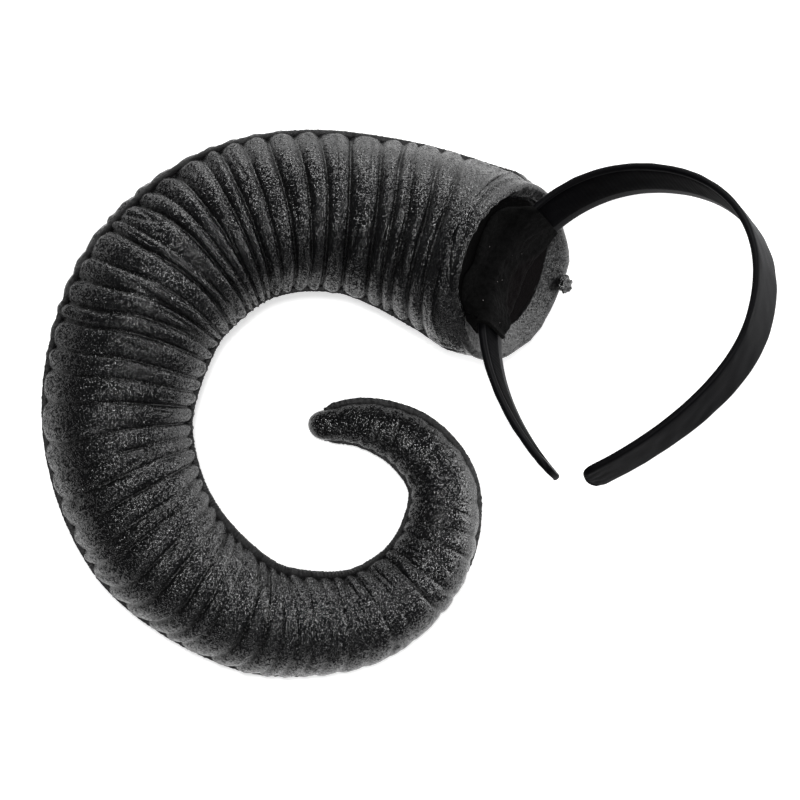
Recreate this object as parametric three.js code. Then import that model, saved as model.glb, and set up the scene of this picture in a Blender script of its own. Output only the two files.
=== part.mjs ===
// A stuffed ram's horn of black imitation leather, glued to one arm of a satin-covered
// headband, as it lies on a table. Millimetres and degrees, +Z up.
import * as THREE from 'three';

// The horn's coil
const coilReach = 222;          // the coil's midline, from the root to its far side
const rootWidth = 73;           // across the seams at the root
const rootHeight = 45;          // middle of the root's face above the table
const rootHeading = -21.4;      // where the root's face looks, seen from above
const rootRise = 34.3;          // how far it looks up
const rootStem = 14;            // straight stretch behind the root's face
const floorSag = 1.6;           // how much the stuffing is pressed flat by its own weight

// The horn's ribs and seams
const ribPitchRoot = 9.2;
const ribPitchTip = 6;
const ribDepth = 1.9;           // groove depth where the horn is as wide as its root
const smoothRoot = 27;          // plain stretch between the rim and the first groove
const seamTuck = 1.6;           // how far the stitching draws the skin in
const seamFlat = 2.6;           // width of the drawn-in line at each seam
const seamThickness = 1.7;      // two raw edges of leather, one on the other
const seamReach = 3.4;          // how far the raw edges stand out of the stitching
const seamScallop = 0.28;       // share of that which they lose in a groove
const seamStart = 5;            // where they begin behind the rim
const tipStretch = 1.25;        // length of the rounded tip, as a share of its half width

// The root's rim and the felt that closes it
const rimWidth = 5.6;           // leather between the rim's outside and the felt
const rimRound = 2.4;
const rimSlump = 5;             // how much the stuffing spreads the rim's lower side
const rimSwell = 3.5;           // and pushes it forward
const slumpAngle = -115;        // where it does so most
const seatDepth = 3.6;          // how far the felt's bed lies below the rim
const feltThickness = 2;
const feltPlay = 1.3;           // round the hand-cut disc

// The headband
const bandSpan = 123;           // outside to outside across the arms
const crownRise = 61.4;         // from the widest line up to the crown
const crownFullness = 2.12;     // 2 is a plain ellipse
const legDrop = 75.7;           // from the widest line down to the tips
const legFullness = 0.38;
const tipGap = 16;
const tipLean = 56.8;
const tipPull = 0.4;
const bandThickness = 3.1;
const bandEdgeRound = 0.5;
const crownWidth = 22.3;
const tipWidth = 14.2;
const taperLength = 160;        // from each tip to the full width

// The ribbon inside the headband
const ribbonThickness = 1;
const ribbonNearMargin = 1.2;   // bare satin beside it, on the side towards the top
const ribbonFarMargin = 4.6;
const ribbonEnd = 9;            // bare satin at each tip

// Where and how the horn is fixed to the arm
const seatAngle = 12;           // above the arm's widest line
const bandTwist = 13.2;         // of the arm on the root's face
const patchThickness = 1.6;
const patchPlay = 1.6;          // between the felt's edge and the rim around its bed
const patchSlope = 3.4;         // run of a flap from the band's edge down to the disc
const shortFlap = 1.5;          // least that a flap lies on the disc
const knotSize = 8;
const knotFlatness = 0.6;       // height of the knot as a share of its size
const knotLumps = 0.1;          // how uneven it is, as a share of its size
const knotAngle = -84;          // where it is on the rim

const clearance = 0.35;         // between pieces that touch

// The horn's midline from behind the root to the tip, seen from above with the root's
// centre at 0, 0. Columns: along and across (shares of coilReach), width (share of
// rootWidth), depth (share of that width), and how far the outer and the inner seam are
// rolled up out of the coil's plane (degrees).
const hornRows = [
  [-0.184, 0.077, 0.93, 0.90, 3, 3],
  [-0.294, 0.105, 0.88, 0.88, 6, 4],
  [-0.407, 0.108, 0.89, 0.88, 13, 4],
  [-0.517, 0.080, 0.91, 0.88, 20, 4],
  [-0.609, 0.015, 0.92, 0.88, 24, 4],
  [-0.679, -0.075, 0.91, 0.88, 22, 4],
  [-0.730, -0.293, 0.82, 0.88, 8, 4],
  [-0.659, -0.506, 0.78, 0.88, 0, 6],
  [-0.486, -0.649, 0.63, 0.90, -7, 10],
  [-0.373, -0.671, 0.58, 0.90, -16, 14],
  [-0.259, -0.654, 0.53, 0.90, -25, 16],
  [-0.166, -0.587, 0.46, 0.90, -25, 12],
  [-0.121, -0.501, 0.4, 0.90, -16, 6],
  [-0.117, -0.405, 0.34, 0.90, -4, 4],
  [-0.174, -0.328, 0.3, 0.92, 4, 4],
  [-0.262, -0.291, 0.235, 0.94, 5, 4],
  [-0.341, -0.292, 0.16, 0.96, 5, 4],
];
const rootShape = { width: 1, depth: 0.96, outer: 0, inner: 0 };
const stemShape = { width: 1.01, depth: 0.95, outer: 1, inner: 1 };

// Outline of the hand-cut disc, as shares of its bed, anticlockwise from the outer seam.
const discOutline = [0.98, 0.95, 1, 0.97, 0.99, 0.94, 0.98, 1, 0.96, 0.98, 0.93, 0.99, 0.97, 0.95];

// Outline of the felt over the band, from its lower end to its upper end. Columns: how
// far the upper and the lower flap reach, as shares of the way from the band's side to
// the edge of the disc's bed.
const patchRows = [
  [1.00, 0.20],
  [0.96, 0.30],
  [1.00, 0.22],
  [0.97, 0.14],
  [1.00, 0.10],
  [0.98, 0.12],
  [0.94, 0.18],
  [1.00, 0.30],
  [0.97, 0.45],
  [0.90, 0.40],
];

const leather = new THREE.MeshStandardMaterial({ color: 0x1d1c1e, roughness: 0.5, metalness: 0 });
const rawEdge = new THREE.MeshStandardMaterial({ color: 0x121213, roughness: 0.8, metalness: 0 });
const satin = new THREE.MeshStandardMaterial({ color: 0x111115, roughness: 0.42, metalness: 0 });
const ribbon = new THREE.MeshStandardMaterial({ color: 0x0d0d11, roughness: 0.6, metalness: 0 });
const felt = new THREE.MeshStandardMaterial({ color: 0x1a181a, roughness: 0.95, metalness: 0 });

const radians = THREE.MathUtils.degToRad;
const smoothstep = THREE.MathUtils.smoothstep;
const vector = (x, y, z) => new THREE.Vector3(x, y, z);

// A closed body through rings of as many points each, with a flat cap at both ends.
function loft(rings) {
  const count = rings[0].length;
  const points = rings.flat();
  const faces = [];
  for (let ring = 0; ring + 1 < rings.length; ring += 1) {
    for (let i = 0; i < count; i += 1) {
      const next = (i + 1) % count;
      const a = ring * count;
      const b = a + count;
      faces.push(a + i, a + next, b + next, a + i, b + next, b + i);
    }
  }
  const last = (rings.length - 1) * count;
  const middle = (ring) => ring.reduce((sum, p) => sum.add(p), vector(0, 0, 0)).divideScalar(count);
  const startCentre = points.push(middle(rings[0])) - 1;
  const endCentre = points.push(middle(rings.at(-1))) - 1;
  for (let i = 0; i < count; i += 1) {
    const next = (i + 1) % count;
    faces.push(startCentre, next, i);
    faces.push(endCentre, last + i, last + next);
  }
  return bodyFrom(points, faces);
}

// Geometry from points and triangles, turned so that its faces look out.
function bodyFrom(points, faces) {
  let volume = 0;
  for (let i = 0; i < faces.length; i += 3) {
    const [a, b, c] = [points[faces[i]], points[faces[i + 1]], points[faces[i + 2]]];
    volume += a.dot(b.clone().cross(c));
  }
  const geometry = new THREE.BufferGeometry().setFromPoints(points);
  geometry.setIndex(volume > 0 ? faces : faces.reverse());
  geometry.computeVertexNormals();
  return geometry;
}

// The root's face: n looks out of the horn at the headband, side towards the outer seam.
const heading = radians(rootHeading);
const rise = radians(rootRise);
const root = {
  centre: vector(0, 0, rootHeight),
  n: vector(Math.cos(heading) * Math.cos(rise), Math.sin(heading) * Math.cos(rise), Math.sin(rise)),
  side: vector(-Math.sin(heading), Math.cos(heading), 0),
};
root.up = root.n.clone().cross(root.side);

// The midline and the section's shape along it, as two curves with the same parameter.
const shapeRows = [
  rootShape,
  rootShape,
  stemShape,
  ...hornRows.map(([, , width, depth, outer, inner]) => ({ width, depth, outer, inner })),
];
const midline = new THREE.CatmullRomCurve3([
  root.centre,
  root.centre.clone().addScaledVector(root.n, -rootStem / 2),
  root.centre.clone().addScaledVector(root.n, -rootStem),
  ...hornRows.map(([along, across, width, depth]) =>
    vector(along * coilReach, across * coilReach, width * depth * rootWidth / 2 - floorSag)),
]);
midline.arcLengthDivisions = 2000;
const sizes = new THREE.CatmullRomCurve3(shapeRows.map((row) => vector(row.width, row.depth, 0)));
const rolls = new THREE.CatmullRomCurve3(shapeRows.map((row) => vector(row.outer, row.inner, 0)));
const hornLength = midline.getLength();

// Place, directions and half sizes of the horn's section at a distance from the root.
// Past the end of the midline it runs on straight, for the rounded tip.
function hornStation(distance) {
  const share = Math.min(distance / hornLength, 1);
  const t = midline.getUtoTmapping(share);
  const ahead = midline.getTangent(t);
  const centre = midline.getPoint(t).addScaledVector(ahead, Math.max(distance - hornLength, 0));
  const side = ahead.clone().cross(vector(0, 0, 1)).normalize();
  const up = side.clone().cross(ahead);
  const size = sizes.getPoint(t);
  const roll = rolls.getPoint(t);
  const halfWidth = size.x * rootWidth / 2;
  return {
    centre, side, up, halfWidth,
    halfDepth: halfWidth * size.y,
    outerSeam: radians(roll.x),
    innerSeam: Math.PI - radians(roll.y),
    tuck: seamTuck * smoothstep(distance, rimRound, rootStem) * Math.sqrt(size.x),
    slump: rimSlump * (1 - smoothstep(distance, 0, smoothRoot)),
  };
}

// How much of the settled stuffing an angle of the section gets, from 0 to 1.
function settled(angle) {
  return ((1 + Math.cos(angle - radians(slumpAngle))) / 2) ** 2;
}

// Radius of the oval section in the direction of an angle from its outer side.
function ovalRadius(station, angle) {
  return 1 / Math.hypot(Math.cos(angle) / station.halfWidth, Math.sin(angle) / station.halfDepth);
}

function skinRadius(station, angle) {
  return ovalRadius(station, angle) + station.slump * settled(angle);
}

// A point of a section, pressed flat where it would sink into the table.
function sectionPoint(station, angle, radius, sideways = 0) {
  const x = radius * Math.cos(angle) - sideways * Math.sin(angle);
  const y = radius * Math.sin(angle) + sideways * Math.cos(angle);
  const point = station.centre.clone().addScaledVector(station.side, x).addScaledVector(station.up, y);
  point.z = Math.max(point.z, 0);
  return point;
}

// One ring of the horn: the upper panel from seam to seam, then the lower one. Each seam
// is a narrow flat, on which the raw edges stand.
const panelShares = [0, 0.07, 0.21, 0.36, 0.5, 0.64, 0.79, 0.93, 1];
function hornRing({ distance, groove = 0, scale = 1, swell = 0, inBed = false }) {
  const station = hornStation(distance);
  if (inBed) station.slump = 0;
  const { outerSeam, innerSeam } = station;
  const depth = groove * ribDepth * Math.sqrt(2 * station.halfWidth / rootWidth);
  const halfFlat = seamFlat / 2 * Math.min(1, scale * station.halfWidth / seamFlat);
  const ring = [];
  for (const [from, to] of [[outerSeam, innerSeam], [innerSeam, outerSeam + 2 * Math.PI]]) {
    for (const share of panelShares) {
      const angle = from + (to - from) * share;
      const atSeam = share === 0 || share === 1;
      const inset = atSeam ? station.tuck : depth;
      const radius = (skinRadius(station, angle) - inset) * scale;
      const point = sectionPoint(station, angle, radius, atSeam ? halfFlat * (1 - 2 * share) : 0);
      ring.push(point.addScaledVector(root.n, swell * settled(angle)));
    }
  }
  return ring;
}

// Grooves come at a pitch that narrows towards the tip.
function grooveStops() {
  const stops = [];
  let distance = smoothRoot;
  while (distance < hornLength - ribPitchTip) {
    const left = 1 - distance / hornLength;
    const pitch = ribPitchTip + (ribPitchRoot - ribPitchTip) * (1 - (1 - left) ** 2);
    stops.push({ distance, pitch });
    distance += pitch;
  }
  return stops;
}

// Rings of the skin behind the rim: a groove and two rings on the rib after it.
const ribRings = grooveStops().flatMap(({ distance, pitch }) => [
  { distance, groove: 1 },
  { distance: distance + pitch / 3 },
  { distance: distance + pitch * 2 / 3 },
]);

// The rounded tip, as turns from the last full section to the end.
const tipTurns = [25, 50, 70, 84];
const tipRings = tipTurns.map((degrees) => ({
  distance: hornLength + Math.sin(radians(degrees)) * hornStation(hornLength).halfWidth * tipStretch,
  scale: Math.cos(radians(degrees)),
}));

// The felt's bed and the rim's top, as shares of the root's section.
const bedShare = 1 - 2 * rimWidth / rootWidth;
const rimShare = 1 - 2 * rimRound / rootWidth;

function hornBody() {
  return loft([
    { distance: seatDepth, scale: bedShare, inBed: true },
    { distance: 0, scale: bedShare, inBed: true },
    { distance: 0, scale: rimShare, swell: rimSwell },
    { distance: rimRound, swell: rimSwell },
    { distance: rootStem },
    ...ribRings,
    { distance: hornLength },
    ...tipRings,
  ].map(hornRing));
}

// The raw edges of both panels, stitched together, stand out of a seam as a ragged fin.
// They stand further out over a rib than in a groove.
function seamFin(seamName) {
  const rings = [{ distance: seamStart }, { distance: rootStem }, ...ribRings, { distance: hornLength }];
  return loft(rings.map(({ distance, groove = 0 }) => {
    const station = hornStation(distance);
    const angle = station[seamName];
    const foot = skinRadius(station, angle) - station.tuck + clearance;
    const reach = Math.min(seamReach, station.halfWidth / 3) * (1 - seamScallop * groove);
    const half = seamThickness / 2;
    return [
      sectionPoint(station, angle, foot, -half),
      sectionPoint(station, angle, foot + reach, -half),
      sectionPoint(station, angle, foot + reach, half),
      sectionPoint(station, angle, foot, half),
    ];
  }));
}

// A point at the root: x towards the outer seam, y up the face, height out of the horn.
function rootPoint(x, y, height) {
  return root.centre.clone().addScaledVector(root.side, x).addScaledVector(root.up, y)
    .addScaledVector(root.n, height);
}

const discBottom = clearance - seatDepth;
const discTop = discBottom + feltThickness;

function baseDisc() {
  const station = hornStation(0);
  const ring = (height) => discOutline.map((share, i) => {
    const angle = i / discOutline.length * 2 * Math.PI;
    const radius = (ovalRadius(station, angle) * bedShare - feltPlay) * share;
    return rootPoint(radius * Math.cos(angle), radius * Math.sin(angle), height);
  });
  return loft([ring(discBottom), ring(discTop)]);
}

// The headband's outer line in its own plane: u across the arms, v up to the crown.
class CrownCurve extends THREE.Curve {
  getPoint(t, target = new THREE.Vector2()) {
    const angle = Math.PI * (1 - t);
    const power = 2 / crownFullness;
    const across = Math.sign(Math.cos(angle)) * Math.abs(Math.cos(angle)) ** power;
    return target.set(across * bandSpan / 2, Math.max(Math.sin(angle), 0) ** power * crownRise);
  }
}

function legPoints(sign) {
  const lean = radians(tipLean);
  const tip = new THREE.Vector2(sign * tipGap / 2, -legDrop);
  const pull = new THREE.Vector2(sign * Math.sin(lean), Math.cos(lean)).multiplyScalar(tipPull * legDrop);
  return [
    tip,
    tip.clone().add(pull),
    new THREE.Vector2(sign * bandSpan / 2, -legFullness * legDrop),
    new THREE.Vector2(sign * bandSpan / 2, 0),
  ];
}

const arch = new THREE.CurvePath();
arch.add(new THREE.CubicBezierCurve(...legPoints(-1)));
arch.add(new CrownCurve());
arch.add(new THREE.CubicBezierCurve(...legPoints(1).reverse()));
arch.curves.forEach((curve) => { curve.arcLengthDivisions = 800; });
const archLength = arch.getLength();
const legLength = arch.curves[0].getLength();

// How far along the arch, from the tip of the arm with the horn, the horn is fixed.
const seatDistance = legLength + radians(seatAngle) * bandSpan / 2;

// The headband's place: its outer face touches the disc at the root's centre.
const twist = radians(bandTwist);
const turn = radians(seatAngle);
const armAlong = root.side.clone().multiplyScalar(Math.cos(twist)).addScaledVector(root.up, -Math.sin(twist));
const band = {
  u: root.n.clone().multiplyScalar(Math.cos(turn)).addScaledVector(armAlong, Math.sin(turn)),
  v: armAlong.clone().multiplyScalar(Math.cos(turn)).addScaledVector(root.n, -Math.sin(turn)),
};
band.w = band.u.clone().cross(band.v);
const seatOnArch = arch.getPoint(seatDistance / archLength);
band.centre = rootPoint(0, 0, discTop + clearance)
  .addScaledVector(band.u, -seatOnArch.x)
  .addScaledVector(band.v, -seatOnArch.y);

// Point, inward direction and half width of the headband at a distance along its arch.
function bandStation(distance) {
  const share = distance / archLength;
  const place = arch.getPoint(share);
  const ahead = arch.getTangent(share);
  const fromTip = Math.min(distance, archLength - distance);
  const width = tipWidth + (crownWidth - tipWidth) * smoothstep(fromTip, 0, taperLength);
  return {
    point: band.centre.clone().addScaledVector(band.u, place.x).addScaledVector(band.v, place.y),
    inward: band.u.clone().multiplyScalar(ahead.y).addScaledVector(band.v, -ahead.x),
    halfWidth: width / 2,
  };
}

function bandPoint(station, across, depth) {
  return station.point.clone().addScaledVector(band.w, across).addScaledVector(station.inward, depth);
}

// Distances along the arch between two ends, in even steps.
function archSteps(from, to, count) {
  return Array.from({ length: count + 1 }, (_, i) => from + (to - from) * i / count);
}

// The rounded ends of the headband: distance from the tip and width, as shares of half
// the tip's width.
const tipArc = [20, 45, 70].map((degrees) => ({
  along: 1 - Math.cos(radians(degrees)),
  width: Math.sin(radians(degrees)),
}));

function headband() {
  const round = tipWidth / 2;
  const stops = [
    ...tipArc.map(({ along, width }) => ({ distance: along * round, share: width })),
    ...archSteps(round, archLength - round, 54).map((distance) => ({ distance, share: 1 })),
    ...tipArc.map(({ along, width }) => ({ distance: archLength - along * round, share: width })).reverse(),
  ];
  return loft(stops.map(({ distance, share }) => {
    const station = bandStation(distance);
    const half = station.halfWidth * share;
    const soft = Math.min(bandEdgeRound, half / 2);
    return [
      bandPoint(station, 0, 0),
      bandPoint(station, half - soft, 0.1 * soft),
      bandPoint(station, half, soft),
      bandPoint(station, half, bandThickness - soft),
      bandPoint(station, half - soft, bandThickness),
      bandPoint(station, soft - half, bandThickness),
      bandPoint(station, -half, bandThickness - soft),
      bandPoint(station, -half, soft),
      bandPoint(station, soft - half, 0.1 * soft),
    ];
  }));
}

// A ribbon is glued along the inside of the headband.
function bandLining() {
  const inner = bandThickness + clearance;
  return loft(archSteps(ribbonEnd, archLength - ribbonEnd, 54).map((distance) => {
    const station = bandStation(distance);
    const top = station.halfWidth - ribbonNearMargin;
    const bottom = ribbonFarMargin - station.halfWidth;
    return [
      bandPoint(station, bottom, inner),
      bandPoint(station, top, inner),
      bandPoint(station, top, inner + ribbonThickness),
      bandPoint(station, bottom, inner + ribbonThickness),
    ];
  }));
}

// Felt over the arm holds it on the disc: flat across the ribbon, down past both edges of
// the band, and out over the disc in two flaps. It ends where the flaps become short.
function bandPatch() {
  const radius = rootShape.depth * bedShare * rootWidth / 2 - patchPlay;
  const knee = bandStation(seatDistance).halfWidth + clearance + patchSlope;
  const halfLength = Math.sqrt(Math.max(radius ** 2 - (knee + shortFlap) ** 2, knee ** 2 / 4));
  const stops = archSteps(seatDistance - halfLength, seatDistance + halfLength, patchRows.length - 1);
  const inner = bandThickness + ribbonThickness + 2 * clearance;
  const turned = patchThickness / 3;
  return loft(stops.map((distance, i) => {
    const station = bandStation(distance);
    const edge = station.halfWidth + clearance;
    const bedEdge = Math.sqrt(Math.max(radius ** 2 - (distance - seatDistance) ** 2, 0));
    const way = Math.max(bedEdge - knee, shortFlap);
    const [upper, lower] = patchRows[i].map((share) => knee + Math.max(share * way, shortFlap));
    const onDisc = (across, height) => {
      const point = bandPoint(station, across, 0);
      const above = point.clone().sub(root.centre).dot(root.n);
      return point.addScaledVector(root.n, discTop + clearance + height - above);
    };
    return [
      onDisc(upper, 0),
      onDisc(knee, 0),
      bandPoint(station, edge, inner),
      bandPoint(station, -edge, inner),
      onDisc(-knee, 0),
      onDisc(-lower, 0),
      onDisc(-lower, patchThickness),
      onDisc(-knee - turned, patchThickness),
      bandPoint(station, -edge - turned, inner + patchThickness),
      bandPoint(station, edge + turned, inner + patchThickness),
      onDisc(knee + turned, patchThickness),
      onDisc(upper, patchThickness),
    ];
  }));
}

// The gathered end of the rim's stitching stands on the rim as a lump.
function rimKnot() {
  const station = hornStation(0);
  const angle = radians(knotAngle);
  const radius = skinRadius(station, angle) - rimRound - knotSize / 4;
  const middleHeight = rimSwell * settled(angle) + clearance + (1 + knotLumps) * knotFlatness * knotSize / 2;
  const geometry = new THREE.IcosahedronGeometry(knotSize / 2, 1);
  const place = geometry.getAttribute('position');
  for (let i = 0; i < place.count; i += 1) {
    const p = vector().fromBufferAttribute(place, i);
    const wave = Math.sin(p.x * 4 * Math.PI / knotSize) * Math.cos(p.y * 4 * Math.PI / knotSize);
    p.multiplyScalar(1 + knotLumps * wave);
    const x = radius * Math.cos(angle) + p.x;
    const y = radius * Math.sin(angle) + p.y;
    const moved = rootPoint(x, y, middleHeight + p.z * knotFlatness);
    place.setXYZ(i, moved.x, moved.y, moved.z);
  }
  geometry.computeVertexNormals();
  return geometry;
}

const pieces = [
  ['horn_body', hornBody(), leather],
  ['outer_seam', seamFin('outerSeam'), rawEdge],
  ['inner_seam', seamFin('innerSeam'), rawEdge],
  ['base_disc', baseDisc(), felt],
  ['headband', headband(), satin],
  ['band_lining', bandLining(), ribbon],
  ['band_patch', bandPatch(), felt],
  ['rim_knot', rimKnot(), leather],
];

// The origin is under the middle of the whole, on the table.
const group = new THREE.Group();
for (const [name, geometry, material] of pieces) {
  const mesh = new THREE.Mesh(geometry, material);
  mesh.name = name;
  group.add(mesh);
}
const bounds = new THREE.Box3().setFromObject(group);
const middle = bounds.getCenter(vector());
group.position.set(-middle.x, -middle.y, -bounds.min.z);

export default group;
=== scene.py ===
import math

import bpy
import numpy as np
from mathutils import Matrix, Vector, noise


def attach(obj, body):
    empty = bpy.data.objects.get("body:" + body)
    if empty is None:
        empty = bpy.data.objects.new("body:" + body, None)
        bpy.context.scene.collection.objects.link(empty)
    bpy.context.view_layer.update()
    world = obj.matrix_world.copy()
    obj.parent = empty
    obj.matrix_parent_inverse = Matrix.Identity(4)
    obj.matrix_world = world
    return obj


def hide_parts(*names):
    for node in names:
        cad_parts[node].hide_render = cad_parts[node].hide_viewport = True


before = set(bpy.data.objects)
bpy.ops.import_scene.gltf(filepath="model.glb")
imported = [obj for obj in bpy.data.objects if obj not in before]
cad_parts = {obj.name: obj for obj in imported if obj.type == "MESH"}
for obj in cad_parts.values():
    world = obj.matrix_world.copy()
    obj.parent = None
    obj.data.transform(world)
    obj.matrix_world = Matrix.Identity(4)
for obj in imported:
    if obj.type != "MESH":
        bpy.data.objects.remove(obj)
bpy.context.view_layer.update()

# The studio. The headband lies by itself on a lit panel of opal acrylic let into a white
# table, seen from straight above, with a small softbox over it and three more around it.
# Sizes are in millimetres along the frame's own axes, and MM turns them into metres.
MM = 0.001
camera_over = (-0.432, 2.129)
camera_height = 1650
camera_lens = 174.42
camera_reach = 20000
table_side = 9000
panel_side = 390
panel_glow = 0.62


def linear(colour):
    """An sRGB hex colour as linear red, green, blue and alpha."""
    shares = [int(colour[i:i + 2], 16) / 255 for i in (1, 3, 5)]
    return [c / 12.92 if c <= 0.04045 else ((c + 0.055) / 1.055) ** 2.4 for c in shares] + [1.0]


def add(material, kind, inputs=(), stops=(), **settings):
    """Adds one shader node to a material. Each input is given a value or another output, and
    each stop of a colour ramp is a position and a hex colour."""
    tree = material.node_tree
    made = tree.nodes.new(kind)
    for name, value in settings.items():
        setattr(made, name, value)
    for socket, value in dict(inputs).items():
        if isinstance(value, bpy.types.NodeSocket):
            tree.links.new(value, made.inputs[socket])
        else:
            made.inputs[socket].default_value = value
    for number, (position, colour) in enumerate(stops):
        made.color_ramp.elements[number].position = position
        made.color_ramp.elements[number].color = linear(colour)
    return made


def new_material(name, values):
    """A material with these constants on its principled shader, and that shader."""
    made = bpy.data.materials.new(name)
    made.use_nodes = True
    shader = made.node_tree.nodes["Principled BSDF"]
    for socket, value in values.items():
        shader.inputs[socket].default_value = value
    return made, shader


def feed(material, shader, socket, output):
    """Links an output to a socket of the shader."""
    material.node_tree.links.new(output, shader.inputs[socket])


def mesh_object(name, points, faces, material, uv=None, marks=None):
    """A smooth mesh from points in millimetres. uv has one pair for each point, and each of
    the marks, by its name, one number."""
    mesh = bpy.data.meshes.new(name)
    mesh.from_pydata((np.asarray(points) * MM).tolist(), [], faces)
    mesh.polygons.foreach_set("use_smooth", [True] * len(mesh.polygons))
    if uv is not None:
        corners = np.empty(len(mesh.loops), dtype=np.int32)
        mesh.loops.foreach_get("vertex_index", corners)
        layer = mesh.uv_layers.new(name="along_across")
        layer.data.foreach_set("uv", (np.asarray(uv) * MM)[corners].ravel())
    for mark, values in (marks or {}).items():
        mesh.attributes.new(mark, "FLOAT", "POINT").data.foreach_set("value", values)
    mesh.materials.append(material)
    mesh.update()
    made = bpy.data.objects.new(name, mesh)
    bpy.context.scene.collection.objects.link(made)
    return made


def acrylic(name, glow):
    """White opal acrylic, faintly clouded. Where it is lit from below it looks evenly pale."""
    made, shader = new_material(name, {
        "Roughness": 0.6, "Specular IOR Level": 0.3,
        "Emission Color": linear("#ffffff"), "Emission Strength": glow})
    place = add(made, "ShaderNodeTexCoord").outputs["Object"]
    clouds = add(made, "ShaderNodeTexNoise", {"Vector": place, "Scale": 3.0, "Detail": 4.0})
    tone = add(made, "ShaderNodeValToRGB", {"Fac": clouds.outputs["Fac"]},
               [(0, "#f1f1f1"), (1, "#f6f6f6")])
    feed(made, shader, "Base Color", tone.outputs["Color"])
    return made


# Four lines each way part the table in nine, and the panel is the fifth.
grid = [-table_side / 2, -panel_side / 2, panel_side / 2, table_side / 2]
table_points = [(x, y, 0) for y in grid for x in grid]
table_faces = [(k, k + 1, k + 5, k + 4) for k in (0, 1, 2, 4, 5, 6, 8, 9, 10)]
table = mesh_object("table_top", table_points, table_faces, acrylic("white_acrylic", 0))
table.data.materials.append(acrylic("lit_opal_acrylic", panel_glow))
table.data.polygons[4].material_index = 1


def softbox(name, place, side, watts):
    """A square area light at a place in millimetres that faces the origin."""
    light = bpy.data.lights.new(name, "AREA")
    light.size = side * MM
    light.energy = watts
    lamp = bpy.data.objects.new(name, light)
    lamp.location = Vector(place) * MM
    lamp.rotation_euler = (-lamp.location).to_track_quat("-Z", "Y").to_euler()
    bpy.context.scene.collection.objects.link(lamp)


softbox("overhead_softbox", (-60, 220, 2300), 250, 28)
softbox("right_softbox", (1900, 350, 460), 900, 37)
softbox("back_softbox", (100, 1900, 620), 900, 29)
softbox("front_softbox", (-300, -1600, 1500), 400, 5)
room = bpy.data.worlds.new("white_room")
room.use_nodes = True
room.node_tree.nodes["Background"].inputs["Color"].default_value = linear("#f4f6f8")
room.node_tree.nodes["Background"].inputs["Strength"].default_value = 0.03
bpy.context.scene.world = room
bpy.context.scene.view_settings.view_transform = "Standard"

lens = bpy.data.cameras.new("camera")
lens.lens = camera_lens
lens.sensor_width = 36
lens.clip_end = camera_reach * MM
camera = bpy.data.objects.new("camera", lens)
camera.location = Vector((*camera_over, camera_height)) * MM
bpy.context.scene.collection.objects.link(camera)
bpy.context.scene.camera = camera

# The horn. Two long curved panels of black imitation leather are gathered along their
# edges, sewn together into a tube, stuffed hard with fibre and bent round into a coil.
# The gathers stand between the folds as puffy ribs, and the root's edge is turned in.
coil_reach = 222
root_width = 73
root_place = (43.488, 56.819, 45)
root_heading = math.radians(-21.4)
root_rise = math.radians(34.3)
root_stem = 14
floor_sag = 1.6
smooth_root = 27

# Midline from behind the root to the tip. Columns: along and across (shares of
# coil_reach), width (share of root_width), depth (share of that width), and how far the
# outer and the inner seam are rolled up out of the coil's plane (degrees).
horn_rows = [
    (-0.184, 0.077, 0.93, 0.90, 3, 3),
    (-0.294, 0.105, 0.88, 0.88, 6, 4),
    (-0.407, 0.108, 0.89, 0.88, 13, 4),
    (-0.517, 0.080, 0.91, 0.88, 20, 4),
    (-0.609, 0.015, 0.92, 0.88, 24, 4),
    (-0.679, -0.075, 0.91, 0.88, 22, 4),
    (-0.730, -0.293, 0.82, 0.88, 8, 4),
    (-0.659, -0.506, 0.78, 0.88, 0, 6),
    (-0.486, -0.649, 0.63, 0.90, -7, 10),
    (-0.373, -0.671, 0.58, 0.90, -16, 14),
    (-0.259, -0.654, 0.53, 0.90, -25, 16),
    (-0.166, -0.587, 0.46, 0.90, -25, 12),
    (-0.121, -0.501, 0.40, 0.90, -16, 6),
    (-0.117, -0.405, 0.34, 0.90, -4, 4),
    (-0.174, -0.328, 0.30, 0.92, 4, 4),
    (-0.262, -0.291, 0.235, 0.94, 5, 4),
    (-0.341, -0.292, 0.16, 0.96, 5, 4),
]
root_shape = (1, 0.96, 0, 0)
stem_shape = (1.01, 0.95, 1, 1)

# The ribs. Columns: width of the rib behind a fold (mm) and depth of the fold (share).
ribs = [
    (8, 0.9), (8.5, 1), (6.5, 0.7), (8.5, 0.8), (13, 1.1), (10.5, 1.15), (7.5, 1), (8, 0.85),
    (8.5, 1.1), (8, 0.8), (5.5, 1.1), (7.5, 0.9), (6, 1.1), (5, 0.7), (8.5, 1.1), (4.5, 0.5),
    (10, 1.1), (7, 0.8), (8, 0.9), (7, 1), (11.5, 1.1), (9, 1), (10, 0.9), (13, 1), (10, 1.1),
    (8.5, 0.6), (10, 0.8), (10, 1.15), (6.5, 0.9), (10, 0.8), (9, 1), (9.5, 1.05), (7.5, 1.1),
    (6.5, 0.9), (11.5, 0.6), (7.5, 1.1), (7.5, 1), (6, 0.7), (7, 0.9), (7, 0.8), (7, 0.6),
    (7, 0.9), (7, 0.7), (7, 0.9), (11, 0.7), (7, 1.2), (12.5, 0.8), (7.5, 1), (12, 1.3),
    (11.5, 0.7), (9, 0.5), (8, 0.6), (8, 0.6), (8, 1), (8.5, 0.9), (9, 0.5),
]
fold_depth = 3.0
fold_reach = 6.5        # a wide rib is flat between the rounded sides of its folds
near_side = 0.44        # share of the rib that its side towards the root takes
fold_line = 0.65        # half width of the sharp line at the bottom of a fold
fold_valley = 0.5       # share of a fold's depth that is rounded, the rest is that line
fold_wander = 0.9       # how far a fold strays from its place
under_folds = 0.7       # how deep the folds are under the horn, as a share
notch = 0.5             # how much deeper a fold is where it opens into a seam
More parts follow.
